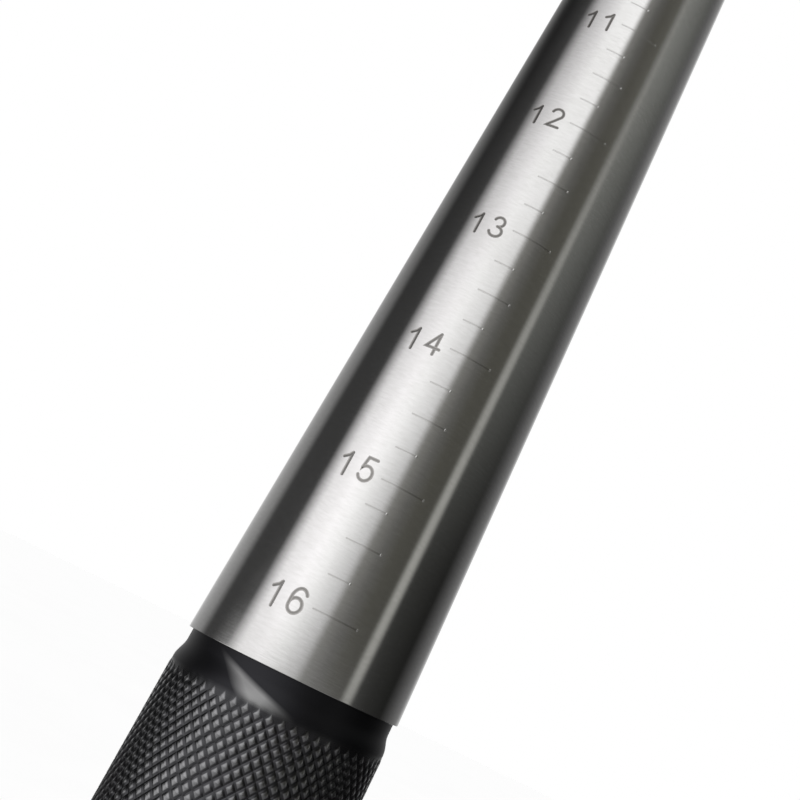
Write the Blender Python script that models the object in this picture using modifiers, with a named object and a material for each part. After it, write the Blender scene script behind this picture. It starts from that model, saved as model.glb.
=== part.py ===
"""A ring mandrel: a ground steel taper marked in ring sizes, on a knurled grip that a nut holds to its tang.

It stands upright on the butt of its grip, with its axis on Z and its scale facing -Y.
"""

import bmesh
import bpy
from math import cos, pi, radians, sin, tau
from mathutils import Matrix, Vector

MM = 0.001

# The taper: a ring of size n fits where the taper is SIZE_ZERO_DIAMETER + n * DIAMETER_STEP thick
SIZE_ZERO_DIAMETER = 11.63 * MM
DIAMETER_STEP = 0.8128 * MM
SIZE_SPACING = 16.0 * MM
FIRST_MARK = 1
LAST_MARK = 16
TIP_ALLOWANCE = 8.0 * MM
END_ALLOWANCE = 6.0 * MM
TIP_CHAMFER = 0.8 * MM
SHOULDER_EDGE = 0.2 * MM
CENTRE_HOLE_DIAMETER = 3.2 * MM
CENTRE_HOLE_DEPTH = 2.8 * MM

# The tang that carries the grip, and its threaded end
THREAD_DIAMETER = 8.0 * MM
TANG_STEP = 1.0 * MM
THREAD_PAST_NUT = 3.0 * MM
THREAD_PAST_FLOOR = 2.0 * MM
THREAD_CHAMFER = 0.8 * MM

# The grip, turned from bar as thick as the shoulder
GRIP_PROUD = 0.03 * MM
GRIP_LENGTH = 97.0 * MM
NECK_LENGTH = 3.2 * MM
NECK_DEPTH = 0.5 * MM
NECK_STRAIGHT = 1.5 * MM
NECK_FLARE = 1.0 * MM
GRIP_EDGE = 0.5 * MM
PLAIN_BAND = 3.0 * MM
KNURL_DEPTH = 0.5 * MM
KNURL_PITCH = 2.55 * MM
KNURL_ANGLE = radians(42.5)
KNURL_SHARP_ANGLE = radians(20)

# The cap that closes the butt
CAP_THICKNESS = 3.0 * MM
CAP_CHAMFER = 0.8 * MM
SPIGOT_LENGTH = 5.0 * MM
SPIGOT_CHAMFER = 0.5 * MM
CAP_TO_THREAD = 1.0 * MM

# Nut, washers and dowel
NUT_WALL = 2.5 * MM
NUT_THICKNESS = 6.5 * MM
SPRING_WASHER_PAST_FLATS = 0.9 * MM
SPRING_WASHER_THICKNESS = 2.0 * MM
SPRING_WASHER_SPLIT = 1.2 * MM
SPRING_WASHER_SLANT = radians(30)
WASHER_PAST_CORNERS = 0.5 * MM
WASHER_SIDE_GAP = 0.5 * MM
WASHER_THICKNESS = 1.6 * MM
DOWEL_DIAMETER = 3.0 * MM
DOWEL_LENGTH = 16.0 * MM
DOWEL_CHAMFER = 0.4 * MM

# Clearances, how far a cutter runs past what it cuts, and how near points are made one
SEAT_GAP = 0.3 * MM
FIT_GAP = 0.3 * MM
OVERRUN = 1.0 * MM
MERGE_WITHIN = 0.001 * MM

# Facets round each turned piece, and stretches along the neck's flare
TAPER_SIDES = 96
CAP_SIDES = 72
FASTENER_SIDES = 40
DOWEL_SIDES = 24
NECK_POINTS = 6

# Heights, stacked up from the butt
CAP_TOP = CAP_THICKNESS
GRIP_BOTTOM = CAP_TOP + SEAT_GAP
GRIP_TOP = GRIP_BOTTOM + GRIP_LENGTH
SHOULDER = GRIP_TOP + SEAT_GAP
LAST_MARK_HEIGHT = SHOULDER + END_ALLOWANCE
TIP = LAST_MARK_HEIGHT + (LAST_MARK - FIRST_MARK) * SIZE_SPACING + TIP_ALLOWANCE
SPIGOT_TOP = CAP_TOP + SPIGOT_LENGTH
THREAD_END = SPIGOT_TOP + CAP_TO_THREAD
NUT_BOTTOM = THREAD_END + THREAD_PAST_NUT
SPRING_WASHER_BOTTOM = NUT_BOTTOM + NUT_THICKNESS + SEAT_GAP
WASHER_BOTTOM = SPRING_WASHER_BOTTOM + SPRING_WASHER_THICKNESS + SEAT_GAP
COUNTERBORE_FLOOR = WASHER_BOTTOM + WASHER_THICKNESS + SEAT_GAP
THREAD_TOP = COUNTERBORE_FLOOR + THREAD_PAST_FLOOR

# Diameters, worked out from the thread to the counterbore
TANG_DIAMETER = THREAD_DIAMETER + 2 * TANG_STEP
BORE_DIAMETER = TANG_DIAMETER + 2 * FIT_GAP
FASTENER_BORE = THREAD_DIAMETER + 2 * FIT_GAP
NUT_ACROSS_FLATS = THREAD_DIAMETER + 2 * NUT_WALL
NUT_ACROSS_CORNERS = NUT_ACROSS_FLATS / cos(pi / 6)
SPRING_WASHER_DIAMETER = NUT_ACROSS_FLATS + 2 * SPRING_WASHER_PAST_FLATS
WASHER_DIAMETER = NUT_ACROSS_CORNERS + 2 * WASHER_PAST_CORNERS
COUNTERBORE_DIAMETER = WASHER_DIAMETER + 2 * WASHER_SIDE_GAP


def taper_diameter(height):
    """How thick the taper is at a height: it follows the ring sizes, and runs on past both ends of the scale."""
    size = LAST_MARK - (height - LAST_MARK_HEIGHT) / SIZE_SPACING
    return SIZE_ZERO_DIAMETER + size * DIAMETER_STEP


# The grip is as thick as the shoulder, and the dowel stands midway in the wall of its neck
SHOULDER_DIAMETER = taper_diameter(SHOULDER)
GRIP_DIAMETER = SHOULDER_DIAMETER + 2 * GRIP_PROUD
NECK_DIAMETER = SHOULDER_DIAMETER - 2 * NECK_DEPTH
DOWEL_RING_DIAMETER = (BORE_DIAMETER + NECK_DIAMETER) / 2
DOWEL_HOLE_DIAMETER = DOWEL_DIAMETER + 2 * FIT_GAP
DOWEL_HOLE_DEPTH = (DOWEL_LENGTH + SEAT_GAP) / 2
DOWEL_PLACE = (0, DOWEL_RING_DIAMETER / 2)


def clear_scene():
    for obj in list(bpy.data.objects):
        bpy.data.objects.remove(obj, do_unlink=True)


def new_collection(name, hidden=False):
    collection = bpy.data.collections.new(name)
    collection.hide_render = hidden
    bpy.context.scene.collection.children.link(collection)
    return collection


def new_material(name, colour, roughness, metallic):
    material = bpy.data.materials.new(name)
    material.use_nodes = True
    shader = material.node_tree.nodes["Principled BSDF"]
    shader.inputs["Base Color"].default_value = (*colour, 1)
    shader.inputs["Roughness"].default_value = roughness
    shader.inputs["Metallic"].default_value = metallic
    return material


def new_object(name, mesh, collection, material=None):
    obj = bpy.data.objects.new(name, mesh)
    collection.objects.link(obj)
    if material:
        mesh.materials.append(material)
    return obj


def baked(obj):
    """Turns an object's modifiers into its own mesh."""
    bpy.context.view_layer.update()
    graph = bpy.context.evaluated_depsgraph_get()
    mesh = bpy.data.meshes.new_from_object(obj.evaluated_get(graph), depsgraph=graph)
    obj.modifiers.clear()
    obj.data = mesh
    return obj


def shade_round(obj, angle=radians(35)):
    obj.data.shade_smooth()
    obj.data.set_sharp_from_angle(angle=angle)


def turned(name, profile, sides, collection, material=None, closed=False):
    """Turns a profile of (radius, height) points, which runs down its outer side, round Z."""
    mesh = bpy.data.meshes.new(name)
    count = len(profile)
    edges = [(i, i + 1) for i in range(count - 1)]
    if closed:
        edges.append((count - 1, 0))
    mesh.from_pydata([(radius, 0, height) for radius, height in profile], edges, [])
    obj = new_object(name, mesh, collection, material)
    screw = obj.modifiers.new("Turn", "SCREW")
    screw.steps = sides
    screw.render_steps = sides
    screw.use_merge_vertices = True
    screw.merge_threshold = MERGE_WITHIN
    return baked(obj)


def ring(name, bore, diameter, bottom, thickness, collection, material):
    """A flat ring, turned from a rectangle."""
    profile = [
        (bore / 2, bottom + thickness),
        (diameter / 2, bottom + thickness),
        (diameter / 2, bottom),
        (bore / 2, bottom),
    ]
    made = turned(name, profile, FASTENER_SIDES, collection, material, closed=True)
    shade_round(made)
    return made


def drill(name, diameter, bottom, top, place, sides, cutters):
    """A round cutter that stands upright at a place."""
    mesh = bpy.data.meshes.new(name)
    shape = bmesh.new()
    bmesh.ops.create_cone(
        shape, cap_ends=True, segments=sides, radius1=diameter / 2, radius2=diameter / 2, depth=top - bottom
    )
    shape.to_mesh(mesh)
    shape.free()
    cutter = new_object(name, mesh, cutters)
    cutter.location = (*place, (bottom + top) / 2)
    cutter.hide_render = True
    cutter.display_type = "WIRE"
    return cutter


def cut(obj, cutter):
    boolean = obj.modifiers.new("Cut " + cutter.name, "BOOLEAN")
    boolean.operation = "DIFFERENCE"
    boolean.solver = "EXACT"
    boolean.object = cutter
    return obj


def make_taper(collection, cutters, steel):
    """The taper, its shoulder and its tang are one bar, ground between centres."""
    tip_radius = taper_diameter(TIP) / 2
    tang = TANG_DIAMETER / 2
    thread = THREAD_DIAMETER / 2
    profile = [
        (0, TIP - CENTRE_HOLE_DEPTH),
        (CENTRE_HOLE_DIAMETER / 2, TIP),
        (tip_radius - TIP_CHAMFER, TIP),
        (tip_radius, TIP - TIP_CHAMFER),
        (taper_diameter(SHOULDER + SHOULDER_EDGE) / 2, SHOULDER + SHOULDER_EDGE),
        (SHOULDER_DIAMETER / 2 - SHOULDER_EDGE, SHOULDER),
        (tang, SHOULDER),
        (tang, THREAD_TOP + tang - thread),
        (thread, THREAD_TOP),
        (thread, THREAD_END + THREAD_CHAMFER),
        (thread - THREAD_CHAMFER, THREAD_END),
        (0, THREAD_END),
    ]
    taper = turned("mandrel_taper", profile, TAPER_SIDES, collection, steel)
    hole_top = SHOULDER + DOWEL_HOLE_DEPTH
    cutter = drill(
        "dowel_hole_in_taper", DOWEL_HOLE_DIAMETER, SHOULDER - OVERRUN, hole_top, DOWEL_PLACE, DOWEL_SIDES, cutters
    )
    shade_round(taper)
    return cut(taper, cutter)


def neck_profile():
    """The narrow neck under the shoulder, its flare, and the plain rim down to where the knurl starts."""
    narrow = NECK_DIAMETER / 2
    full = GRIP_DIAMETER / 2
    points = [(narrow, GRIP_TOP)]
    for i in range(NECK_POINTS + 1):
        share = i / NECK_POINTS
        rise = (1 - cos(pi * share)) / 2
        points.append((narrow + (full - narrow) * rise, GRIP_TOP - NECK_STRAIGHT - NECK_FLARE * share))
    points.append((full, GRIP_TOP - NECK_LENGTH))
    return points


def knurl_counts():
    """How many columns and rows of half diamonds fit round and along the grip, both even."""
    columns = 2 * round(pi * GRIP_DIAMETER / KNURL_PITCH)
    half_pitch = pi * GRIP_DIAMETER / columns
    half_length = half_pitch * cos(KNURL_ANGLE) / sin(KNURL_ANGLE)
    length = GRIP_LENGTH - NECK_LENGTH - PLAIN_BAND
    rows = 2 * round(length / half_length / 2)
    return columns, rows, length


def raise_knurl(obj, columns, rows, length):
    """Pushes every other point of the knurl in to its root, and folds each face along its valley."""
    knurl_top = GRIP_TOP - NECK_LENGTH
    row_height = length / rows
    crest = GRIP_DIAMETER / 2
    shape = bmesh.new()
    shape.from_mesh(obj.data)
    low = set()
    inside = set()
    for vert in shape.verts:
        radius = vert.co.xy.length
        row = round((knurl_top - vert.co.z) / row_height)
        if abs(radius - crest) > KNURL_DEPTH / 10 or not 0 <= row <= rows:
            continue
        if abs(knurl_top - row * row_height - vert.co.z) > row_height / 10:
            continue
        inside.add(vert)
        column = round(vert.co.xy.angle_signed(Vector((1, 0))) / tau * columns)
        if 0 < row < rows and (row + column) % 2:
            low.add(vert)
    for vert in low:
        inwards = 1 - KNURL_DEPTH / crest
        vert.co.x *= inwards
        vert.co.y *= inwards
    for face in list(shape.faces):
        if len(face.verts) != 4 or not inside.issuperset(face.verts):
            continue
        valley = [vert for vert in face.verts if vert in low]
        if len(valley) == 2:
            bmesh.ops.connect_verts(shape, verts=valley)
        elif len(valley) == 1:
            corners = list(face.verts)
            across = corners[(corners.index(valley[0]) + 2) % 4]
            bmesh.ops.connect_verts(shape, verts=[valley[0], across])
    shape.to_mesh(obj.data)
    shape.free()


def make_grip(collection, cutters, black):
    """The knurled sleeve: bored for the tang, with a deeper bore at its butt for the nut."""
    columns, rows, length = knurl_counts()
    knurl_top = GRIP_TOP - NECK_LENGTH
    radius = GRIP_DIAMETER / 2
    profile = [(BORE_DIAMETER / 2, GRIP_TOP)] + neck_profile()
    for row in range(1, rows + 1):
        profile.append((radius, knurl_top - length * row / rows))
    profile += [
        (radius, GRIP_BOTTOM + GRIP_EDGE),
        (radius - GRIP_EDGE, GRIP_BOTTOM),
        (COUNTERBORE_DIAMETER / 2, GRIP_BOTTOM),
        (COUNTERBORE_DIAMETER / 2, COUNTERBORE_FLOOR),
        (BORE_DIAMETER / 2, COUNTERBORE_FLOOR),
    ]
    grip = turned("handle_grip", profile, columns, collection, black, closed=True)
    raise_knurl(grip, columns, rows, length)
    shade_round(grip, KNURL_SHARP_ANGLE)
    hole_bottom = GRIP_TOP - DOWEL_HOLE_DEPTH
    cutter = drill(
        "dowel_hole_in_grip", DOWEL_HOLE_DIAMETER, hole_bottom, GRIP_TOP + OVERRUN, DOWEL_PLACE, DOWEL_SIDES, cutters
    )
    return cut(grip, cutter)


def make_dowel(collection, steel):
    """The pin that keeps the grip from turning on the tang, half in each of them."""
    radius = DOWEL_DIAMETER / 2
    bottom = (SHOULDER + GRIP_TOP - DOWEL_LENGTH) / 2
    top = bottom + DOWEL_LENGTH
    profile = [
        (0, top),
        (radius - DOWEL_CHAMFER, top),
        (radius, top - DOWEL_CHAMFER),
        (radius, bottom + DOWEL_CHAMFER),
        (radius - DOWEL_CHAMFER, bottom),
        (0, bottom),
    ]
    dowel = turned("drive_dowel", profile, DOWEL_SIDES, collection, steel)
    dowel.location = (*DOWEL_PLACE, 0)
    shade_round(dowel)
    return dowel


def make_washer(collection, zinc):
    return ring(
        "plain_washer", FASTENER_BORE, WASHER_DIAMETER, WASHER_BOTTOM, WASHER_THICKNESS, collection, zinc
    )


def make_spring_washer(collection, cutters, zinc):
    """A ring sprung open by a slanted split."""
    washer = ring(
        "spring_washer", FASTENER_BORE, SPRING_WASHER_DIAMETER, SPRING_WASHER_BOTTOM,
        SPRING_WASHER_THICKNESS, collection, zinc,
    )
    mesh = bpy.data.meshes.new("spring_washer_split")
    shape = bmesh.new()
    reach = SPRING_WASHER_DIAMETER / 2 + OVERRUN
    height = 2 * SPRING_WASHER_THICKNESS / cos(SPRING_WASHER_SLANT) + 2 * OVERRUN
    bmesh.ops.create_cube(shape, size=1, matrix=Matrix.Diagonal((reach, SPRING_WASHER_SPLIT, height, 1)))
    shape.to_mesh(mesh)
    shape.free()
    splitter = new_object("spring_washer_split", mesh, cutters)
    splitter.location = (reach / 2, 0, SPRING_WASHER_BOTTOM + SPRING_WASHER_THICKNESS / 2)
    splitter.rotation_euler.x = SPRING_WASHER_SLANT
    splitter.hide_render = True
    splitter.display_type = "WIRE"
    return cut(washer, splitter)


def make_nut(collection, cutters, zinc):
    """A hexagon nut with its corners turned off at both ends."""
    mesh = bpy.data.meshes.new("tang_nut")
    shape = bmesh.new()
    bmesh.ops.create_cone(
        shape, cap_ends=True, segments=6, radius1=NUT_ACROSS_CORNERS / 2,
        radius2=NUT_ACROSS_CORNERS / 2,
        depth=NUT_THICKNESS,
    )
    bmesh.ops.translate(shape, verts=shape.verts, vec=(0, 0, NUT_BOTTOM + NUT_THICKNESS / 2))
    shape.to_mesh(mesh)
    shape.free()
    nut = new_object("tang_nut", mesh, collection, zinc)
    corner = (NUT_ACROSS_CORNERS - NUT_ACROSS_FLATS) / 2
    flat = NUT_ACROSS_FLATS / 2
    top = NUT_BOTTOM + NUT_THICKNESS
    envelope = turned(
        "nut_envelope",
        [
            (0, top + OVERRUN),
            (flat - 2 * OVERRUN, top + OVERRUN),
            (flat, top),
            (flat + 2 * corner, top - corner),
            (flat + 2 * corner, NUT_BOTTOM + corner),
            (flat, NUT_BOTTOM),
            (flat - 2 * OVERRUN, NUT_BOTTOM - OVERRUN),
            (0, NUT_BOTTOM - OVERRUN),
        ],
        FASTENER_SIDES,
        cutters,
    )
    envelope.hide_render = True
    envelope.display_type = "WIRE"
    trim = nut.modifiers.new("Turn the corners off", "BOOLEAN")
    trim.operation = "INTERSECT"
    trim.solver = "EXACT"
    trim.object = envelope
    hole = drill(
        "nut_hole", FASTENER_BORE, NUT_BOTTOM - OVERRUN, top + OVERRUN, (0, 0), FASTENER_SIDES, cutters
    )
    return cut(nut, hole)


def make_cap(collection, black):
    """The disc that closes the butt, on a spigot pressed into the counterbore. The mandrel stands on it."""
    radius = GRIP_DIAMETER / 2
    spigot = COUNTERBORE_DIAMETER / 2 - FIT_GAP
    profile = [
        (0, SPIGOT_TOP),
        (spigot - SPIGOT_CHAMFER, SPIGOT_TOP),
        (spigot, SPIGOT_TOP - SPIGOT_CHAMFER),
        (spigot, CAP_TOP),
        (radius - GRIP_EDGE, CAP_TOP),
        (radius, CAP_TOP - GRIP_EDGE),
        (radius, CAP_CHAMFER),
        (radius - CAP_CHAMFER, 0),
        (0, 0),
    ]
    cap = turned("butt_cap", profile, CAP_SIDES, collection, black)
    shade_round(cap)
    return cap


def build():
    clear_scene()
    collection = new_collection("ring_mandrel")
    cutters = new_collection("cutters", hidden=True)
    ground_steel = new_material("ground_steel", (0.62, 0.61, 0.60), 0.28, 1.0)
    black_finish = new_material("black_finish", (0.018, 0.018, 0.021), 0.42, 0.6)
    zinc_plate = new_material("zinc_plate", (0.66, 0.67, 0.69), 0.32, 1.0)
    dowel_steel = new_material("dowel_steel", (0.45, 0.45, 0.46), 0.25, 1.0)
    cap_finish = new_material("cap_finish", (0.020, 0.020, 0.023), 0.38, 0.6)
    make_taper(collection, cutters, ground_steel)
    make_grip(collection, cutters, black_finish)
    make_dowel(collection, dowel_steel)
    make_washer(collection, zinc_plate)
    make_spring_washer(collection, cutters, zinc_plate)
    make_nut(collection, cutters, zinc_plate)
    make_cap(collection, cap_finish)


build()
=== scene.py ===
import math

import bmesh
import bpy
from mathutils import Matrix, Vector


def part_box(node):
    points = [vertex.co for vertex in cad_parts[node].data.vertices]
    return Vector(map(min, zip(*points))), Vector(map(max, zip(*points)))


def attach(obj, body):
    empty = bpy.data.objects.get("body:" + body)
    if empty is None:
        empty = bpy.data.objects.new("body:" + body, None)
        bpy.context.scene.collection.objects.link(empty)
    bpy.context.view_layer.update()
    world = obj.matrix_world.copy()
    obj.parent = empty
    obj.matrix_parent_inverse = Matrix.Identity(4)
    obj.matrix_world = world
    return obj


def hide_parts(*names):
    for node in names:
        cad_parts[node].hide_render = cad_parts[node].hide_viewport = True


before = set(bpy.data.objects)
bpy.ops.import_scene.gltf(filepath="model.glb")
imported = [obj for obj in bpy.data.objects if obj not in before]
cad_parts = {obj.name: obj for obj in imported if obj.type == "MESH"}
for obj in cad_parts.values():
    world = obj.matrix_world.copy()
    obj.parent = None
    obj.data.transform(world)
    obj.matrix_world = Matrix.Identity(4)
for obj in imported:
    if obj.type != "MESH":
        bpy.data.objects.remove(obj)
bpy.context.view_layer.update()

MM = 0.001


# The taper: one bar of hardened steel, ground between centres to the ring sizes.
# It ends in a square shoulder, and its tang runs on hidden down the grip.
# The grinding leaves fine rings round it, which stretch its reflections along it.

low_corner, high_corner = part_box("mandrel_taper")
tip_height = high_corner.z
thread_end = low_corner.z
grip_low, grip_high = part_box("handle_grip")
shoulder_gap = 0.3 * MM
shoulder_height = grip_high.z + shoulder_gap
first_size = 1
last_size = 16
last_size_rise = 6 * MM
last_size_height = shoulder_height + last_size_rise
size_spacing = 16 * MM
diameter_of_size_0 = 11.63 * MM
diameter_per_size = 0.8128 * MM
tip_chamfer = 0.8 * MM
tip_round = tip_chamfer / 4
shoulder_round = 0.05 * MM
centre_hole_radius = 1.6 * MM
centre_hole_depth = 2.8 * MM
tang_radius = 5 * MM
thread_radius = 4 * MM
thread_top = 24.6 * MM
thread_chamfer = 0.8 * MM
taper_sides = 256
clean_steel = (0.59, 0.585, 0.58)
smudged_steel = (0.525, 0.52, 0.51)
smudge_share = 0.4
grain_reach = (-0.9, 1.1)
steel_roughness = (0.13, 0.18)
steel_stretch = 0.7
quarter_turn = 0.25


def taper_radius(height):
    size = last_size - (height - last_size_height) / size_spacing
    return (diameter_of_size_0 + size * diameter_per_size) / 2


def round_axis(radius, angle, height):
    """A point off the mandrel's axis. Its angle runs from the front towards the right."""
    return radius * math.sin(angle), -radius * math.cos(angle), height


def rounded(corner, before, after, radius, steps=4):
    """An outline's corner as a small round, from points before and after it."""
    corner, before, after = Vector(corner), Vector(before), Vector(after)
    start = corner + (before - corner).normalized() * radius
    end = corner + (after - corner).normalized() * radius
    curve = []
    for i in range(steps + 1):
        share = i / steps
        point = start * (1 - share) ** 2 + corner * 2 * share * (1 - share) + end * share ** 2
        curve.append((point.x, point.y))
    return curve


def join(shape, upper, lower):
    """Faces between two rings of points. Either ring may be a single point on the axis."""
    for i in range(max(len(upper), len(lower))):
        corners = (
            upper[i % len(upper)], lower[i % len(lower)],
            lower[(i + 1) % len(lower)], upper[(i + 1) % len(upper)],
        )
        shape.faces.new(dict.fromkeys(corners))


def finished(name, shape, sharp_angle=math.radians(28)):
    """The shape as a piece in the scene, smooth but for its sharp edges."""
    bmesh.ops.recalc_face_normals(shape, faces=shape.faces)
    mesh = bpy.data.meshes.new(name)
    shape.to_mesh(mesh)
    shape.free()
    mesh.shade_smooth()
    mesh.set_sharp_from_angle(angle=sharp_angle)
    piece = bpy.data.objects.new(name, mesh)
    bpy.context.scene.collection.objects.link(piece)
    return piece


def turned_mesh(name, outline, sides):
    """Turns an outline of (radius, height) points round the mandrel's axis."""
    shape = bmesh.new()
    rings = []
    for radius, height in outline:
        count = sides if radius else 1
        rings.append([
            shape.verts.new(round_axis(radius, math.tau * i / sides, height)) for i in range(count)
        ])
    for upper, lower in zip(rings, rings[1:]):
        join(shape, upper, lower)
    return finished(name, shape)


def new_material(name):
    """A material, its node tree and its shader."""
    material = bpy.data.materials.new(name)
    material.use_nodes = True
    return material, material.node_tree, material.node_tree.nodes["Principled BSDF"]


def add(tree, kind, inputs=(), **settings):
    """A node with its settings. Each input takes what another node gives, or a value of its own."""
    made = tree.nodes.new(kind)
    for key, value in settings.items():
        setattr(made, key, value)
    for key, value in dict(inputs).items():
        if isinstance(value, bpy.types.NodeSocket):
            tree.links.new(value, made.inputs[key])
        else:
            made.inputs[key].default_value = value
    return made


def maths(tree, operation, *terms):
    """One step of arithmetic."""
    return add(tree, "ShaderNodeMath", enumerate(terms), operation=operation).outputs[0]


def ranged(tree, share, low, high):
    """A share from 0 to 1 spread from low to high."""
    return add(tree, "ShaderNodeMapRange", {"Value": share, "To Min": low, "To Max": high}).outputs[0]


def progress(tree, value, start, end, most=1.0):
    """From 0 where a value is at its start to the most where it is at its end, and level beyond."""
    return add(
        tree, "ShaderNodeMapRange",
        {"Value": value, "From Min": start, "From Max": end, "To Max": most},
    ).outputs[0]


def mixed_colour(tree, share, first, second):
    """The first colour where the share is 0, and the second where it is 1."""
    mix = {"Factor": share}
    for key, colour in (("A", first), ("B", second)):
        mix[key] = colour if isinstance(colour, bpy.types.NodeSocket) else (*colour, 1)
    return add(tree, "ShaderNodeMix", mix, data_type="RGBA").outputs["Result"]


def object_place(tree):
    """Where a point of the surface lies on its piece, as X, Y and Z."""
    return add(tree, "ShaderNodeTexCoord").outputs["Object"]


def parts_of(tree, place):
    """The X, Y and Z of a place."""
    return add(tree, "ShaderNodeSeparateXYZ", {0: place}).outputs


def new_group(name, inputs):
    """A shader node group with the usual values of its inputs, and what these inputs give."""
    group = bpy.data.node_groups.new(name, "ShaderNodeTree")
    for key, value in inputs.items():
        socket = group.interface.new_socket(key, in_out="INPUT", socket_type="NodeSocketFloat")
        socket.default_value = value
    return group, group.nodes.new("NodeGroupInput").outputs


def group_gives(group, outputs):
    """Ends a shader node group with its named outputs."""
    end = group.nodes.new("NodeGroupOutput")
    for key, source in outputs.items():
        group.interface.new_socket(key, in_out="OUTPUT", socket_type="NodeSocketFloat")
        group.links.new(source, end.inputs[key])


def place_group(tree, group, inputs):
    """A shader node group placed in a tree with its own values."""
    return add(tree, "ShaderNodeGroup", inputs, node_tree=group).outputs


# Tool marks: streaks that run round the axis, fine along it and long round it
tool_marks, given = new_group(
    "tool marks", {"Round Scale": 120.0, "Along Scale": 9000.0, "Slant": 0.0, "Detail": 3.0}
)
x, y, z = parts_of(tool_marks, object_place(tool_marks))
slanted = maths(tool_marks, "MULTIPLY_ADD", x, given["Slant"], z)
joined = add(tool_marks, "ShaderNodeCombineXYZ", {"X": x, "Y": y, "Z": slanted}).outputs[0]
scales = add(
    tool_marks, "ShaderNodeCombineXYZ",
    {"X": given["Round Scale"], "Y": given["Round Scale"], "Z": given["Along Scale"]},
).outputs[0]
stretched = add(
    tool_marks, "ShaderNodeVectorMath", {0: joined, 1: scales}, operation="MULTIPLY"
).outputs[0]
streaks = add(
    tool_marks, "ShaderNodeTexNoise",
    {"Vector": stretched, "Scale": 1.0, "Detail": given["Detail"], "Roughness": 0.6},
)
group_gives(tool_marks, {"Streaks": streaks.outputs[0]})

# Handling: slow cloudy changes, as fingers, oil and wear leave on a surface
handling, given = new_group("handling", {"Cloud Scale": 90.0, "Low": 0.35, "High": 0.7})
clouds = add(
    handling, "ShaderNodeTexNoise",
    {
        "Vector": object_place(handling), "Scale": given["Cloud Scale"],
        "Detail": 5.0, "Roughness": 0.62, "Distortion": 0.6,
    },
)
group_gives(handling, {"Clouds": progress(handling, clouds.outputs[0], given["Low"], given["High"])})


def feed_shader(tree, shader, colour, roughness, metallic, relief, depth, strength):
    """Gives a shader its colour, its gloss, and its fine relief as bump."""
    tree.links.new(colour, shader.inputs["Base Color"])
    tree.links.new(roughness, shader.inputs["Roughness"])
    shader.inputs["Metallic"].default_value = metallic
    bump = add(tree, "ShaderNodeBump", {"Height": relief, "Distance": depth, "Strength": strength})
    tree.links.new(bump.outputs[0], shader.inputs["Normal"])


def stretch_reflections(tree, shader, stretch):
    """Draws reflections out along the axis, across the fine rings that the tool left."""
    shader.inputs["Anisotropic"].default_value = stretch
    shader.inputs["Anisotropic Rotation"].default_value = quarter_turn
    tangent = add(tree, "ShaderNodeTangent", direction_type="RADIAL", axis="Z")
    tree.links.new(tangent.outputs[0], shader.inputs["Tangent"])


def ground_steel_material():
    """Bright steel with the wheel's fine rings over its coarser slanting passes, and with smudges."""
    material, tree, shader = new_material("ground_steel")
    rings = place_group(tree, tool_marks, {"Round Scale": 140.0, "Along Scale": 9000.0})
    passes = place_group(
        tree, tool_marks, {"Round Scale": 300.0, "Along Scale": 3200.0, "Slant": 0.12, "Detail": 2.0}
    )
    grain = place_group(
        tree, tool_marks, {"Round Scale": 900.0, "Along Scale": 3600.0, "Slant": 0.05, "Detail": 5.0}
    )
    smudges = place_group(tree, handling, {"Cloud Scale": 70.0})
    grained = ranged(tree, grain[0], *grain_reach)
    mottled = maths(tree, "MULTIPLY_ADD", smudges[0], smudge_share, grained)
    feed_shader(
        tree, shader, mixed_colour(tree, mottled, clean_steel, smudged_steel),
        ranged(tree, smudges[0], *steel_roughness), metallic=1.0,
        relief=maths(tree, "ADD", rings[0], passes[0]), depth=0.005 * MM, strength=0.5,
    )
    stretch_reflections(tree, shader, steel_stretch)
    return material


tip_radius = taper_radius(tip_height)
shoulder_radius = taper_radius(shoulder_height)
chamfer_top = (tip_radius - tip_chamfer, tip_height)
chamfer_foot = (tip_radius, tip_height - tip_chamfer)
shoulder_corner = (shoulder_radius, shoulder_height)
taper_outline = [
    (0, tip_height - centre_hole_depth),
    (centre_hole_radius, tip_height),
    *rounded(chamfer_top, (0, tip_height), chamfer_foot, tip_round),
    *rounded(chamfer_foot, chamfer_top, shoulder_corner, tip_round),
    *rounded(shoulder_corner, (tip_radius, tip_height), (0, shoulder_height), shoulder_round),
    (tang_radius, shoulder_height),
    (tang_radius, thread_top),
    (thread_radius, thread_top - tang_radius + thread_radius),
    (thread_radius, thread_end + thread_chamfer),
    (thread_radius - thread_chamfer, thread_end),
    (0, thread_end),
]
ground_steel = ground_steel_material()
taper = turned_mesh("ground_taper", taper_outline, taper_sides)
taper.data.materials.append(ground_steel)
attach(taper, "root")
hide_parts("mandrel_taper")


# The scale: a line for each quarter size, scored across the front of the hard steel and left bare.
# Lines at whole sizes are longest, those at halves shorter, and those at quarters shortest.

line_width = 0.2 * MM
# Where each kind of line starts and ends, from the middle of the front towards the right
line_reach = {
    "whole": (-0.5 * MM, 4.55 * MM),
    "half": (-0.88 * MM, 3.15 * MM),
    "quarter": (-0.76 * MM, 1.72 * MM),
}
line_step = 0.25 * MM
mark_lift = 0.012 * MM
end_steps = 5
end_tip_width = 0.02
least_mitre = 0.5
drift_per_size = 0.31 * MM
drift_start = 11.25
drift_middle = 12.35
last_setting = 15
last_setting_shift = -0.43 * MM
whole_line_lift = 0.32 * MM


def scale_lines():
    """Each line's size and its kind, a quarter size apart."""
    for quarter in range(first_size * 4, last_size * 4 + 1):
        yield quarter / 4, {0: "whole", 2: "half"}.get(quarter % 4, "quarter")


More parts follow.
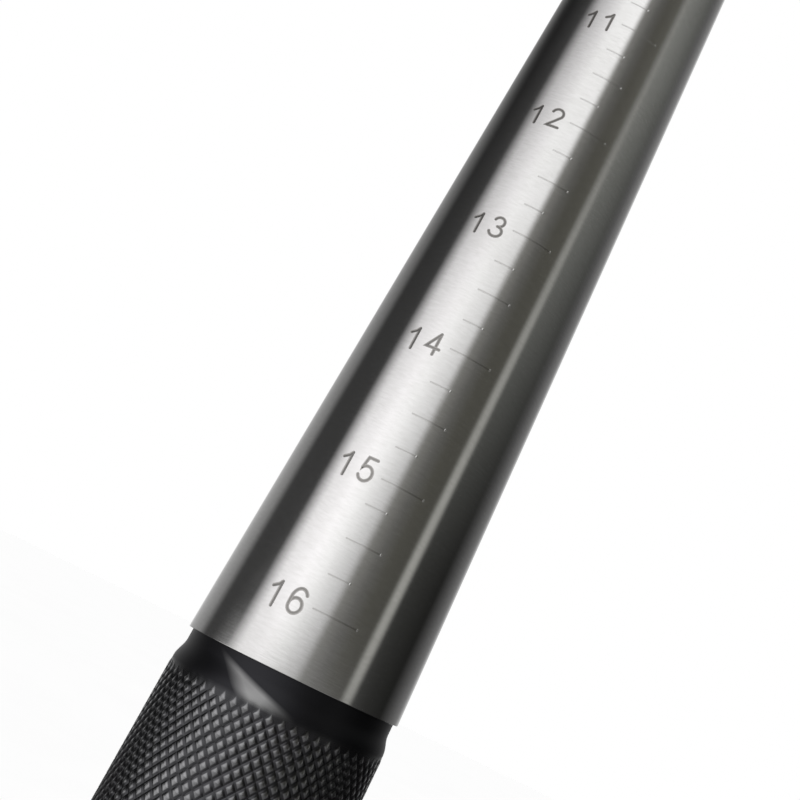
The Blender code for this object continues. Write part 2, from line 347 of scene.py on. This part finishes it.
def engraved_height(size):
    """Where a line was cut: the cutter drifts towards the grip, and is set anew for the last size."""
    shift = drift_per_size * (max(size, drift_start) - drift_middle)
    if size > last_setting:
        shift = last_setting_shift
    if size == int(size):
        shift -= whole_line_lift
    return last_size_height + (last_size - size) * size_spacing - shift


def on_taper(across, height, lift):
    """A point on the taper: across is measured round its girth from the middle of its front."""
    radius = taper_radius(height)
    return round_axis(radius + lift, across / radius, height)


def lay_stroke(shape, path, width, lift):
    """Lays a ribbon with round ends along (across, height) points, its UVs across it and along it."""
    uv_layer = shape.loops.layers.uv.get("cut") or shape.loops.layers.uv.new("cut")
    points = [Vector(point) for point in path]
    ahead = [(b - a).normalized() for a, b in zip(points, points[1:])]
    sides = []
    for i in range(len(points)):
        before = ahead[max(i - 1, 0)]
        after = ahead[min(i, len(ahead) - 1)]
        along = (before + after).normalized()
        square = Vector((-along.y, along.x)) * width / 2
        sides.append(square / max(along.dot(after), least_mitre))
    ends = []
    for end, direction in ((0, -1), (-1, 1)):
        rows = []
        for k in range(1, end_steps + 1):
            turn = math.pi / 2 * k / end_steps
            reach = ahead[end] * direction * width / 2 * math.sin(turn)
            side = sides[end] * max(math.cos(turn), end_tip_width)
            rows.append((points[end] + reach, side, direction * k / end_steps))
        ends.append(rows)
    middle = [(point, side, 0) for point, side in zip(points, sides)]
    lines = []
    for point, side, end_share in ends[0][::-1] + middle + ends[1]:
        line = []
        for across_share in (-1, 0, 1):
            place = point + side * across_share
            vert = shape.verts.new(on_taper(place.x, place.y, lift))
            line.append((vert, (across_share, end_share)))
        lines.append(line)
    for upper, lower in zip(lines, lines[1:]):
        for k in range(2):
            corners = [upper[k], upper[k + 1], lower[k + 1], lower[k]]
            face = shape.faces.new([vert for vert, _ in corners])
            for loop, (_, uv) in zip(face.loops, corners):
                loop[uv_layer].uv = uv


# The cuts: walls that rise to their edges and ends, and grains in their floor; the colour pales towards
# the walls as a painted highlight.
# They grow paler the further they are from one height towards another.
cut_marks, given = new_group("cut marks", {"Paler From": 0.0, "Paler To": 1.0, "Palest": 0.8})
across, along, _ = parts_of(cut_marks, add(cut_marks, "ShaderNodeUVMap", uv_map="cut").outputs[0])
walls = maths(
    cut_marks, "MAXIMUM", maths(cut_marks, "ABSOLUTE", across), maths(cut_marks, "ABSOLUTE", along)
)
grains = place_group(cut_marks, tool_marks, {"Round Scale": 9000.0, "Along Scale": 9000.0})[0]
height = parts_of(cut_marks, object_place(cut_marks))["Z"]
paler_by_height = progress(cut_marks, height, given["Paler From"], given["Paler To"], given["Palest"])
paleness = maths(cut_marks, "ADD", maths(cut_marks, "MULTIPLY", walls, grains), paler_by_height)
group_gives(cut_marks, {"Walls": walls, "Paleness": paleness, "Grains": grains})


def cut_material(name, dark, light, roughness, metallic, depth, paler_sizes, palest, stretch):
    """A cut in the steel, dark along its middle, with walls that catch the light, in bump and as a
    painted highlight in the colour.
    """
    material, tree, shader = new_material(name)
    paler_from, paler_to = (engraved_height(size) for size in paler_sizes)
    cut = place_group(
        tree, cut_marks,
        {"Paler From": paler_from, "Paler To": paler_to, "Palest": palest},
    )
    feed_shader(
        tree, shader, mixed_colour(tree, cut["Paleness"], dark, light),
        ranged(tree, cut["Grains"], *roughness), metallic, cut["Walls"], depth, strength=0.5,
    )
    stretch_reflections(tree, shader, stretch)
    return material


# The bare line's dark middle is painted shade in the cut, and its paler walls a painted highlight.
scored_line = cut_material(
    "scored_line", dark=(0.40, 0.395, 0.385), light=(0.55, 0.545, 0.535), roughness=(0.14, 0.2),
    metallic=1.0, depth=0.015 * MM, paler_sizes=(13.2, 11), palest=0.5, stretch=steel_stretch,
)
lines_shape = bmesh.new()
for size, kind in scale_lines():
    start, end = line_reach[kind]
    start, end = start + line_width / 2, end - line_width / 2
    steps = math.ceil((end - start) / line_step)
    path = [(start + (end - start) * i / steps, engraved_height(size)) for i in range(steps + 1)]
    lay_stroke(lines_shape, path, line_width, mark_lift)
size_lines = finished("size_lines", lines_shape)
size_lines.data.materials.append(scored_line)
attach(size_lines, "root")

# Where the cutter left each line it raised a short bright ridge of steel
burr_width = 0.24 * MM
burr_length = 0.36 * MM
burr_crest = burr_length / 2
burr_lift = 0.05 * MM
burr_skirt = 0.002 * MM
burr_flank = 0.4


def raise_burr(shape, across, height):
    """A ridge along the axis: a hexagon on the steel drawn up to a short crest."""
    foot = []
    for side, along in (
        (0, -1), (1, -burr_flank), (1, burr_flank), (0, 1), (-1, burr_flank), (-1, -burr_flank)
    ):
        foot.append(shape.verts.new(on_taper(
            across + side * burr_width / 2, height + along * burr_length / 2, burr_skirt
        )))
    low = shape.verts.new(on_taper(across, height - burr_crest / 2, burr_lift))
    high = shape.verts.new(on_taper(across, height + burr_crest / 2, burr_lift))
    for corners in (
        (foot[0], foot[1], low), (foot[1], foot[2], high, low), (foot[2], foot[3], high),
        (foot[3], foot[4], high), (foot[4], foot[5], low, high), (foot[5], foot[0], low),
    ):
        shape.faces.new(corners)


burrs_shape = bmesh.new()
for size, kind in scale_lines():
    raise_burr(burrs_shape, line_reach[kind][1], engraved_height(size))
burrs = finished("burrs", burrs_shape, sharp_angle=math.radians(80))
burrs.data.materials.append(ground_steel)
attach(burrs, "root")


# The numbers: plain upright figures left of each whole size, cut with a round cutter of one width.
# Each figure is a few strokes, and its cut is blackened.

figure_height = 2.95 * MM
stroke_width = 0.37 * MM
stroke_lift = 0.004 * MM
figure_gap = 1.2 * MM
numbers_edge = -1.33 * MM
numbers_drop = 0.12 * MM
baseline_fall = 0.055
number_shifts = {
    11: -0.31 * MM, 13: -0.24 * MM, 14: -0.07 * MM, 15: 0.38 * MM, 16: 0.12 * MM
}
arc_step = math.radians(12)


def arc(centre, radii, start, end):
    """Points round an ellipse, its angles in degrees."""
    start, end = math.radians(start), math.radians(end)
    steps = max(2, math.ceil(abs(end - start) / arc_step))
    turns = [start + (end - start) * i / steps for i in range(steps + 1)]
    return [
        (centre[0] + radii[0] * math.cos(turn), centre[1] + radii[1] * math.sin(turn))
        for turn in turns
    ]


def dense(path, step):
    """The same path with points added, so that a long stroke bends round the taper."""
    result = [path[0]]
    for a, b in zip(path, path[1:]):
        count = max(1, math.ceil(math.dist(a, b) / step))
        for i in range(1, count + 1):
            result.append((a[0] + (b[0] - a[0]) * i / count, a[1] + (b[1] - a[1]) * i / count))
    return result


# Each figure's strokes, as shares of its height from its lower left corner
figure_breadth = 0.58
figure_six = [
    arc((0.29, 0.30), (0.28, 0.30), 180, -180),
    arc((0.32, 0.58), (0.31, 0.42), 35, 180) + [(0.01, 0.30)],
]
figure_strokes = {
    "0": [arc((0.29, 0.50), (0.28, 0.50), 90, 450)],
    "1": [[(0.30, 0.0), (0.30, 0.5), (0.30, 1.0)], [(0.30, 1.0), (0.20, 0.86), (0.0, 0.74)]],
    "2": [arc((0.29, 0.73), (0.27, 0.27), 165, -30) + [(0.30, 0.32), (0.0, 0.0), (0.57, 0.0)]],
    "3": [
        arc((0.28, 0.76), (0.24, 0.24), 160, -90),
        arc((0.28, 0.26), (0.29, 0.26), 90, -165),
    ],
    "4": [
        [(0.42, 0.0), (0.42, 0.5), (0.42, 1.0)],
        [(0.42, 1.0), (0.0, 0.30), (0.30, 0.30), (0.60, 0.30)],
    ],
    "5": [[(0.53, 1.0), (0.14, 1.0), (0.05, 0.47)] + arc((0.28, 0.32), (0.29, 0.32), 140, -155)],
    "6": figure_six,
    "7": [[(0.0, 1.0), (0.57, 1.0), (0.30, 0.5), (0.18, 0.0)]],
    "8": [arc((0.29, 0.76), (0.24, 0.24), -90, 270), arc((0.29, 0.26), (0.29, 0.26), 90, 450)],
    "9": [[(figure_breadth - x, 1 - y) for x, y in stroke] for stroke in figure_six],
}
figure_widths = {"1": 0.44, "4": 0.60}
usual_figure_width = 0.57

numbers_shape = bmesh.new()
stroke_height = figure_height - stroke_width
for size in range(first_size, last_size + 1):
    right = numbers_edge - stroke_width / 2
    bottom = engraved_height(size) - stroke_height / 2 - numbers_drop + number_shifts.get(size, 0)
    for figure in reversed(str(size)):
        left = right - figure_widths.get(figure, usual_figure_width) * stroke_height
        for order, stroke in enumerate(figure_strokes[figure]):
            path = [(left + x * stroke_height, bottom + y * stroke_height) for x, y in stroke]
            lift = mark_lift + order * stroke_lift
            lay_stroke(numbers_shape, dense(path, line_step), stroke_width, lift)
        right = left - figure_gap
        bottom -= baseline_fall * figure_height
size_numbers = finished("size_numbers", numbers_shape)
# The figures' dark middle is their blackening, and their paler walls a painted highlight.
blackened_cut = cut_material(
    "blackened_cut", dark=(0.08, 0.075, 0.07), light=(0.44, 0.43, 0.415), roughness=(0.22, 0.4),
    metallic=0.85, depth=0.05 * MM, paler_sizes=(11.5, 15), palest=0.34, stretch=0.0,
)
size_numbers.data.materials.append(blackened_cut)
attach(size_numbers, "root")


# The grip: a black steel sleeve with a hollow neck and a diamond knurl pressed in by two rollers.
# Its bore fits over the tang, and a wider bore at the butt takes the nut.
# The black is a thin hard finish, rubbed a little at the crests of the knurl, with a painted highlight
# on the neck's flare.

grip_radius = grip_high.x
neck_length = 3.35 * MM
neck_depth = 0.5 * MM
neck_straight = 0.9 * MM
neck_flare = 2.1 * MM
flare_steps = 16
seat_gap = 0.02 * MM
plain_band = 3 * MM
grip_edge = 0.5 * MM
bore_radius = 5.3 * MM
counterbore_radius = 8.5 * MM
counterbore_floor = 23 * MM
knurl_starts = 60
knurl_angle = math.radians(40.5)
# The knurl's columns lean a little off the axis, and a small turn sets them where the rollers met
knurl_lean = 0.05
knurl_turn = 0.013
knurl_depth = 0.16 * MM
crest_share = 0.45
rim_drop = 0.06 * MM
knurl_top = grip_high.z - neck_length
knurl_bottom = grip_low.z + plain_band
rim_radius = grip_radius - rim_drop
black_finish = (0.05, 0.05, 0.053)
worn_finish = (0.25, 0.25, 0.255)
black_roughness = (0.17, 0.26)
black_metallic = 0.95
least_wear = 0.6

# Wear: the black thins where it stands furthest out, unevenly, from the worn to the crest radius
crest_wear, given = new_group("crest wear", {"Worn Radius": 0.0, "Crest Radius": 1.0})
flat = add(
    crest_wear, "ShaderNodeVectorMath", {0: object_place(crest_wear), 1: (1.0, 1.0, 0.0)},
    operation="MULTIPLY",
)
radius = add(crest_wear, "ShaderNodeVectorMath", {0: flat.outputs[0]}, operation="LENGTH")
proud = progress(crest_wear, radius.outputs["Value"], given["Worn Radius"], given["Crest Radius"])
clouds = place_group(crest_wear, handling, {"Cloud Scale": 240.0})[0]
uneven = ranged(crest_wear, clouds, least_wear, 1.0)
group_gives(crest_wear, {"Wear": maths(crest_wear, "MULTIPLY", proud, uneven)})

# The neck is a darker, duller black, with a painted highlight on its flare, higher up on the left than
# the right
flare_highlight_limit = grip_high.z - 2.33 * MM
flare_highlight_slope = 3.4 * MM
neck_and_highlight_edge = 0.28 * MM
flare_highlight_left = -0.46
flare_highlight_left_edge = 0.08
flare_highlight_skew = 0.11 / MM
flare_highlight_skew_height = grip_high.z - 0.9 * MM
flare_highlight_right = 0.10
flare_highlight_right_edge = 0.15
neck_black = (0.025, 0.025, 0.028)
# The flare's paler colour is a painted highlight.
neck_painted_highlight = (0.225, 0.225, 0.225)
neck_roughness = (0.4, 0.3)


def turn_from_front(tree, x, y):
    """The angle round the axis, from the front towards the right."""
    return maths(tree, "ARCTAN2", x, maths(tree, "MULTIPLY", y, -1.0))


def rub_neck(tree, colour, roughness):
    """The colour and gloss of the knurl, with those of the neck over it, and a painted highlight on the
    neck's flare.
    """
    x, y, z = parts_of(tree, object_place(tree))
    turn = turn_from_front(tree, x, y)
    slanted = maths(tree, "MULTIPLY_ADD", turn, flare_highlight_slope, z)
    below = progress(tree, slanted, flare_highlight_limit + neck_and_highlight_edge, flare_highlight_limit - neck_and_highlight_edge)
    skewed = maths(tree, "MULTIPLY_ADD", z, flare_highlight_skew, turn)
    left = flare_highlight_left + flare_highlight_skew * flare_highlight_skew_height
    past_left = progress(tree, skewed, left - flare_highlight_left_edge, left + flare_highlight_left_edge)
    before_right = progress(tree, turn, flare_highlight_right + flare_highlight_right_edge, flare_highlight_right - flare_highlight_right_edge)
    between = maths(tree, "MULTIPLY", past_left, before_right)
    # Where the painted highlight lies on the flare
    flare_highlight_mask = maths(tree, "MULTIPLY", below, between)
    on_neck = progress(tree, z, knurl_top - neck_and_highlight_edge, knurl_top + neck_and_highlight_edge)
    neck_colour = mixed_colour(tree, flare_highlight_mask, neck_black, neck_painted_highlight)
    chosen = add(
        tree, "ShaderNodeMix",
        {"Factor": on_neck, "A": roughness, "B": ranged(tree, flare_highlight_mask, *neck_roughness)},
        data_type="FLOAT",
    )
    return mixed_colour(tree, on_neck, colour, neck_colour), chosen.outputs["Result"]


def black_material(name, worn_radius, crest_radius, painted_flare_highlight=False):
    """Black finish over steel: cloudy gloss, fine tooling, wear where it stands proud, and for the grip
    a painted highlight on the neck's flare.
    """
    material, tree, shader = new_material(name)
    clouds = place_group(tree, handling, {"Cloud Scale": 240.0})
    tooling = place_group(tree, tool_marks, {"Round Scale": 400.0, "Along Scale": 7000.0})
    wear = place_group(tree, crest_wear, {"Worn Radius": worn_radius, "Crest Radius": crest_radius})
    colour = mixed_colour(tree, wear[0], black_finish, worn_finish)
    roughness = ranged(tree, clouds[0], *black_roughness)
    if painted_flare_highlight:
        colour, roughness = rub_neck(tree, colour, roughness)
    feed_shader(
        tree, shader, colour, roughness, black_metallic, tooling[0], depth=0.01 * MM, strength=0.3
    )
    return material


def knurled_grip():
    """The sleeve, in columns half a diamond wide, with the knurl between its neck and its plain band."""
    columns = 2 * knurl_starts
    half_pitch = math.tau * grip_radius / columns
    rows = 2 * round((knurl_top - knurl_bottom) / (half_pitch / math.tan(knurl_angle)) / 2)
    row_height = (knurl_top - knurl_bottom) / rows
    shape = bmesh.new()

    def at(radius, column, height, lean=knurl_lean):
        angle = math.tau * column / columns + knurl_turn + lean * (knurl_top - height) / grip_radius
        return shape.verts.new(round_axis(radius, angle, height))

    def ring(radius, height, lean=knurl_lean):
        return [at(radius, column, height, lean) for column in range(columns)]

    def crest(column, row):
        return (column + row) % 2 == 0

    # The rims above and below the knurl, and its roots, with places left empty for the crests
    grid = []
    for row in range(rows + 1):
        rim = row in (0, rows)
        radius = rim_radius if rim else grip_radius - knurl_depth
        height = knurl_top - row * row_height
        grid.append([
            at(radius, column, height) if rim or not crest(column, row) else None
            for column in range(columns)
        ])
    # Each crest is a small diamond of its own
    tops = {}
    for row in range(1, rows):
        for column in range(columns):
            if not crest(column, row):
                continue
            height = knurl_top - row * row_height
            tops[column, row] = {
                (right, down): at(
                    grip_radius, column + right * crest_share,
                    height - down * row_height * crest_share,
                )
                for right, down in ((-1, 0), (0, 1), (1, 0), (0, -1))
            }
            shape.faces.new(tops[column, row].values())
    # Slopes run from each crest to the two roots beside it, and from the rims where they cut a crest
    for row in range(rows):
        for column in range(columns):
            corners = [(column, row), (column, row + 1), (column + 1, row + 1), (column + 1, row)]
            for k, (i, j) in enumerate(corners):
                if not crest(i, j):
                    continue
                beside = [corners[(k - 1) % 4], corners[(k + 1) % 4]]
                before, after = (grid[b][a % columns] for a, b in beside)
                top = tops.get((i % columns, j))
                if top:
                    near = [top[a - i, b - j] for a, b in beside]
                    shape.faces.new((before, near[0], near[1], after))
                else:
                    shape.faces.new((before, grid[j][i % columns], after))

    grip_top = shoulder_height - seat_gap
    flare_top = grip_high.z - neck_straight
    neck_radius = shoulder_radius - neck_depth
    neck = [grid[0]]
    for i in range(flare_steps + 1):
        share = i / flare_steps
        spread = (1 + math.cos(math.pi * share)) / 2
        height = flare_top - neck_flare * (1 - share)
        neck.append(ring(neck_radius + (rim_radius - neck_radius) * spread, height))
    neck.append(ring(neck_radius, grip_top))
    for lower, upper in zip(neck, neck[1:]):
        join(shape, upper, lower)
    inner = [
        ring(bore_radius, grip_top, 0),
        ring(bore_radius, counterbore_floor, 0),
        ring(counterbore_radius, counterbore_floor, 0),
        ring(counterbore_radius, grip_low.z, 0),
    ]
    edge = [ring(radius, height) for radius, height in rounded(
        (rim_radius, grip_low.z), (rim_radius, grip_high.z), (0, grip_low.z), grip_edge
    )]
    join(shape, inner[0], neck[-1])
    for upper, lower in zip(inner, inner[1:]):
        join(shape, upper, lower)
    join(shape, inner[-1], edge[-1])
    for upper, lower in zip([grid[-1]] + edge, edge):
        join(shape, upper, lower)
    return finished("knurled_grip", shape, sharp_angle=math.radians(50))


# The grip's material paints a highlight on the neck's flare.
black_grip = black_material("black_grip", rim_radius, grip_radius, painted_flare_highlight=True)
grip = knurled_grip()
grip.data.materials.append(black_grip)
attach(grip, "root")
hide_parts("handle_grip")


# What holds the grip on: a dowel, two washers and a nut, shut in behind the butt cap.
# The washers and the nut are zinc plated, and the dowel is ground bright.

fresh_plate = (0.62, 0.64, 0.67)
aged_plate = (0.72, 0.70, 0.64)
plate_roughness = (0.25, 0.42)


def plated_material():
    """Zinc plate with a cloudy sheen."""
    material, tree, shader = new_material("zinc_plate")
    clouds = place_group(tree, handling, {"Cloud Scale": 500.0})[0]
    feed_shader(
        tree, shader, mixed_colour(tree, clouds, fresh_plate, aged_plate),
        ranged(tree, clouds, *plate_roughness), metallic=1.0,
        relief=clouds, depth=0.02 * MM, strength=0.2,
    )
    return material


zinc_plate = plated_material()
for name, material in (
    ("plain_washer", zinc_plate), ("spring_washer", zinc_plate),
    ("tang_nut", zinc_plate), ("drive_dowel", ground_steel),
):
    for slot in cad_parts[name].material_slots:
        slot.material = material


# The butt cap: a black turned disc whose spigot presses into the wide bore.
# The mandrel stands on its flat face, which shows the rings of its facing cut.

_, cap_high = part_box("butt_cap")
cap_radius = cap_high.x
cap_thickness = 3 * MM
cap_chamfer = 0.8 * MM
cap_chamfer_round = cap_chamfer / 4
cap_edge = 0.5 * MM
spigot_gap = 0.3 * MM
spigot_radius = counterbore_radius - spigot_gap
spigot_chamfer = 0.5 * MM
cap_chamfer_top = (cap_radius, cap_chamfer)
cap_chamfer_foot = (cap_radius - cap_chamfer, 0)
cap_outline = [
    (0, cap_high.z),
    (spigot_radius - spigot_chamfer, cap_high.z),
    (spigot_radius, cap_high.z - spigot_chamfer),
    (spigot_radius, cap_thickness),
    *rounded((cap_radius, cap_thickness), (0, cap_thickness), (cap_radius, 0), cap_edge),
    *rounded(cap_chamfer_top, (cap_radius, cap_thickness), cap_chamfer_foot, cap_chamfer_round),
    *rounded(cap_chamfer_foot, cap_chamfer_top, (0, 0), cap_chamfer_round),
    (0, 0),
]
black_cap = black_material("black_cap", cap_radius - cap_edge, cap_radius + 3 * cap_edge)
cap = turned_mesh("turned_cap", cap_outline, taper_sides)
cap.data.materials.append(black_cap)
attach(cap, "root")
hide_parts("butt_cap")


# The floor: a plain matt board, nearly white, which takes the mandrel's soft shadow.
# It shows white to the camera and in the metal.

floor_reach = 6.0
floor_drop = 0.05 * MM
floor_glow = 0.35
floor_shades = (0.88, 0.88, 0.88), (0.90, 0.90, 0.90)


def seen_rays(tree):
    """1 to the camera and in metal or glass, and 0 to everything else."""
    rays = add(tree, "ShaderNodeLightPath").outputs
    seen = maths(tree, "MAXIMUM", rays["Is Camera Ray"], rays["Is Glossy Ray"])
    return maths(tree, "MAXIMUM", seen, rays["Is Transmission Ray"])


floor_shape = bmesh.new()
bmesh.ops.create_grid(floor_shape, x_segments=1, y_segments=1, size=floor_reach)
bmesh.ops.translate(floor_shape, verts=floor_shape.verts, vec=(0, 0, -floor_drop))
floor = finished("floor", floor_shape)
floor_material, tree, shader = new_material("floor")
speckle = place_group(tree, handling, {"Cloud Scale": 8.0})[0]
tree.links.new(mixed_colour(tree, speckle, *floor_shades), shader.inputs["Base Color"])
shader.inputs["Roughness"].default_value = 0.9
shader.inputs["Specular IOR Level"].default_value = 0.0
tree.links.new(ranged(tree, seen_rays(tree), 0.0, floor_glow), shader.inputs["Emission Strength"])
shader.inputs["Emission Color"].default_value = (1, 1, 1, 1)
floor.data.materials.append(floor_material)


# The surround: graded cards stand in a ring round the mandrel, as a photographer sets them for metal.
# White at the front left, they fall to grey and black beside it, and others lie on the floor inside.
# Only reflections see them.

ring_radius = 0.62
ring_top = 1.0
ring_sides = 120
laid_inner_radius = 0.03
laid_lift = 0.5 * MM
foot_full = 0.04
foot_reflected = 0.16
head_reflected = 0.62
brightest = 2.2
# Each card's two edges, in degrees from the front towards the right, with its levels near its foot
# and near its head
cards = {
    "back": [(-180, 0.85, 0.85), (-164, 0.85, 0.80)],
    "left grey": [(-150, 0.55, 0.26), (-118, 0.34, 0.035)],
    "left black": [(-106, 0.07, 0.02), (-72, 0.06, 0.06)],
    "key": [(-56, 1.35, 0.70), (-32, 1.70, 1.15)],
    "key's fall": [(-20, 1.52, 1.40), (5, 0.82, 1.50)],
    "olive": [(12, 0.30, 0.30), (26, 0.16, 0.15)],
    "olive's edge": [(38, 0.11, 0.11), (54, 0.09, 0.14)],
    "strip": [(59, 0.52, 0.24), (64, 0.52, 0.36)],
    "right black": [(69, 0.05, 0.30), (110, 0.02, 0.15)],
    "right grey": [(122, 0.08, 0.15), (150, 0.24, 0.33)],
    "back right": [(165, 0.55, 0.75), (180, 0.85, 0.85)],
}
# The same for those that lie on the floor, each edge with one level
laid_cards = {
    "laid back": [(-180, 0.80), (-156, 0.20)],
    "laid left black": [(-124, 0.10), (-94, 0.12)],
    "laid key": [(-77, 1.10), (-61, 1.30)],
    "laid key's fall": [(-40, 0.90), (10, 0.40)],
    "laid grey": [(40, 0.30), (62, 0.18)],
    "laid right black": [(85, 0.04), (125, 0.02)],
    "laid right": [(150, 0.20), (180, 0.85)],
}
untinted = (1.0, 1.0, 1.0)
tints = {
    "olive": (1.0, 0.99, 0.93), "olive's edge": (1.0, 0.98, 0.84), "strip": (1.0, 1.0, 0.94),
    "right black": (0.98, 1.0, 0.94), "key": (1.0, 0.99, 1.0),
}


def card_ramp(tree, share, chosen_cards, level):
    """The cards as one ramp round the ring, at one of the levels of their edges."""
    ramp = add(tree, "ShaderNodeValToRGB", {"Fac": share})
    stops = [(edge, name) for name, edges in chosen_cards.items() for edge in edges]
    places = ramp.color_ramp.elements
    while len(places) < len(stops):
        places.new(0.5)
    for place, (edge, name) in zip(places, stops):
        place.position = (edge[0] + 180) / 360
        place.color = (*(edge[level] / brightest * part for part in tints.get(name, untinted)), 1)
    return ramp.outputs["Color"]


card_material = bpy.data.materials.new("graded_cards")
card_material.use_nodes = True
tree = card_material.node_tree
tree.nodes.clear()
x, y, z = parts_of(tree, object_place(tree))
share = progress(tree, turn_from_front(tree, x, y), -math.pi, math.pi)
graded = card_ramp(tree, share, laid_cards, 1)
for level, low, high in ((1, laid_lift, foot_full), (2, foot_reflected, head_reflected)):
    next_level = card_ramp(tree, share, cards, level)
    graded = mixed_colour(tree, progress(tree, z, low, high), graded, next_level)
glow = add(tree, "ShaderNodeEmission", {"Color": graded, "Strength": brightest})
add(tree, "ShaderNodeOutputMaterial", {"Surface": glow.outputs[0]})
card_outline = [(laid_inner_radius, laid_lift), (ring_radius, laid_lift), (ring_radius, ring_top)]
card_ring = turned_mesh("ring_of_cards", card_outline, ring_sides)
card_ring.data.materials.append(card_material)
card_ring.visible_camera = False
card_ring.visible_diffuse = False
card_ring.visible_shadow = False


# The light: one large soft lamp high at the left, and a white surround that the camera and metal see.
# The lamp gives the floor its soft shadow, and the metal shows only the surround and the cards.

lamp_direction = Vector((0.45, 0.35, -1.0))
surround_lighting = 0.45
surround_seen = 1.0
lamp_data = bpy.data.lights.new("soft_lamp", "SUN")
lamp_data.energy = 0.94
lamp_data.angle = 0.7
lamp = bpy.data.objects.new("soft_lamp", lamp_data)
bpy.context.scene.collection.objects.link(lamp)
lamp.visible_glossy = False
lamp.rotation_euler = lamp_direction.to_track_quat("-Z", "Y").to_euler()

world = bpy.data.worlds.new("surround")
world.use_nodes = True
bpy.context.scene.world = world
tree = world.node_tree
tree.nodes.clear()
strength = ranged(tree, seen_rays(tree), surround_lighting, surround_seen)
backdrop = add(tree, "ShaderNodeBackground", {"Color": (1, 1, 1, 1), "Strength": strength})
add(tree, "ShaderNodeOutputWorld", {"Surface": backdrop.outputs[0]})


# The camera: close to the steel, level with size 16, and rolled so that the mandrel leans right.
# The photo is a crop beside the middle of its lens, so the picture is shifted.

camera_data = bpy.data.cameras.new("camera")
camera_data.sensor_width = 36
camera_data.lens = 45.21
camera_data.shift_x = -0.1534
camera_data.shift_y = 0.0174
camera_data.clip_start = 0.01
camera = bpy.data.objects.new("camera", camera_data)
bpy.context.scene.collection.objects.link(camera)
camera.location = (9.78 * MM, -115.32 * MM, 102.87 * MM)
camera.rotation_euler = (math.radians(109.189), math.radians(-24.778), math.radians(-8.299))
bpy.context.scene.camera = camera
bpy.context.scene.view_settings.view_transform = "Standard"
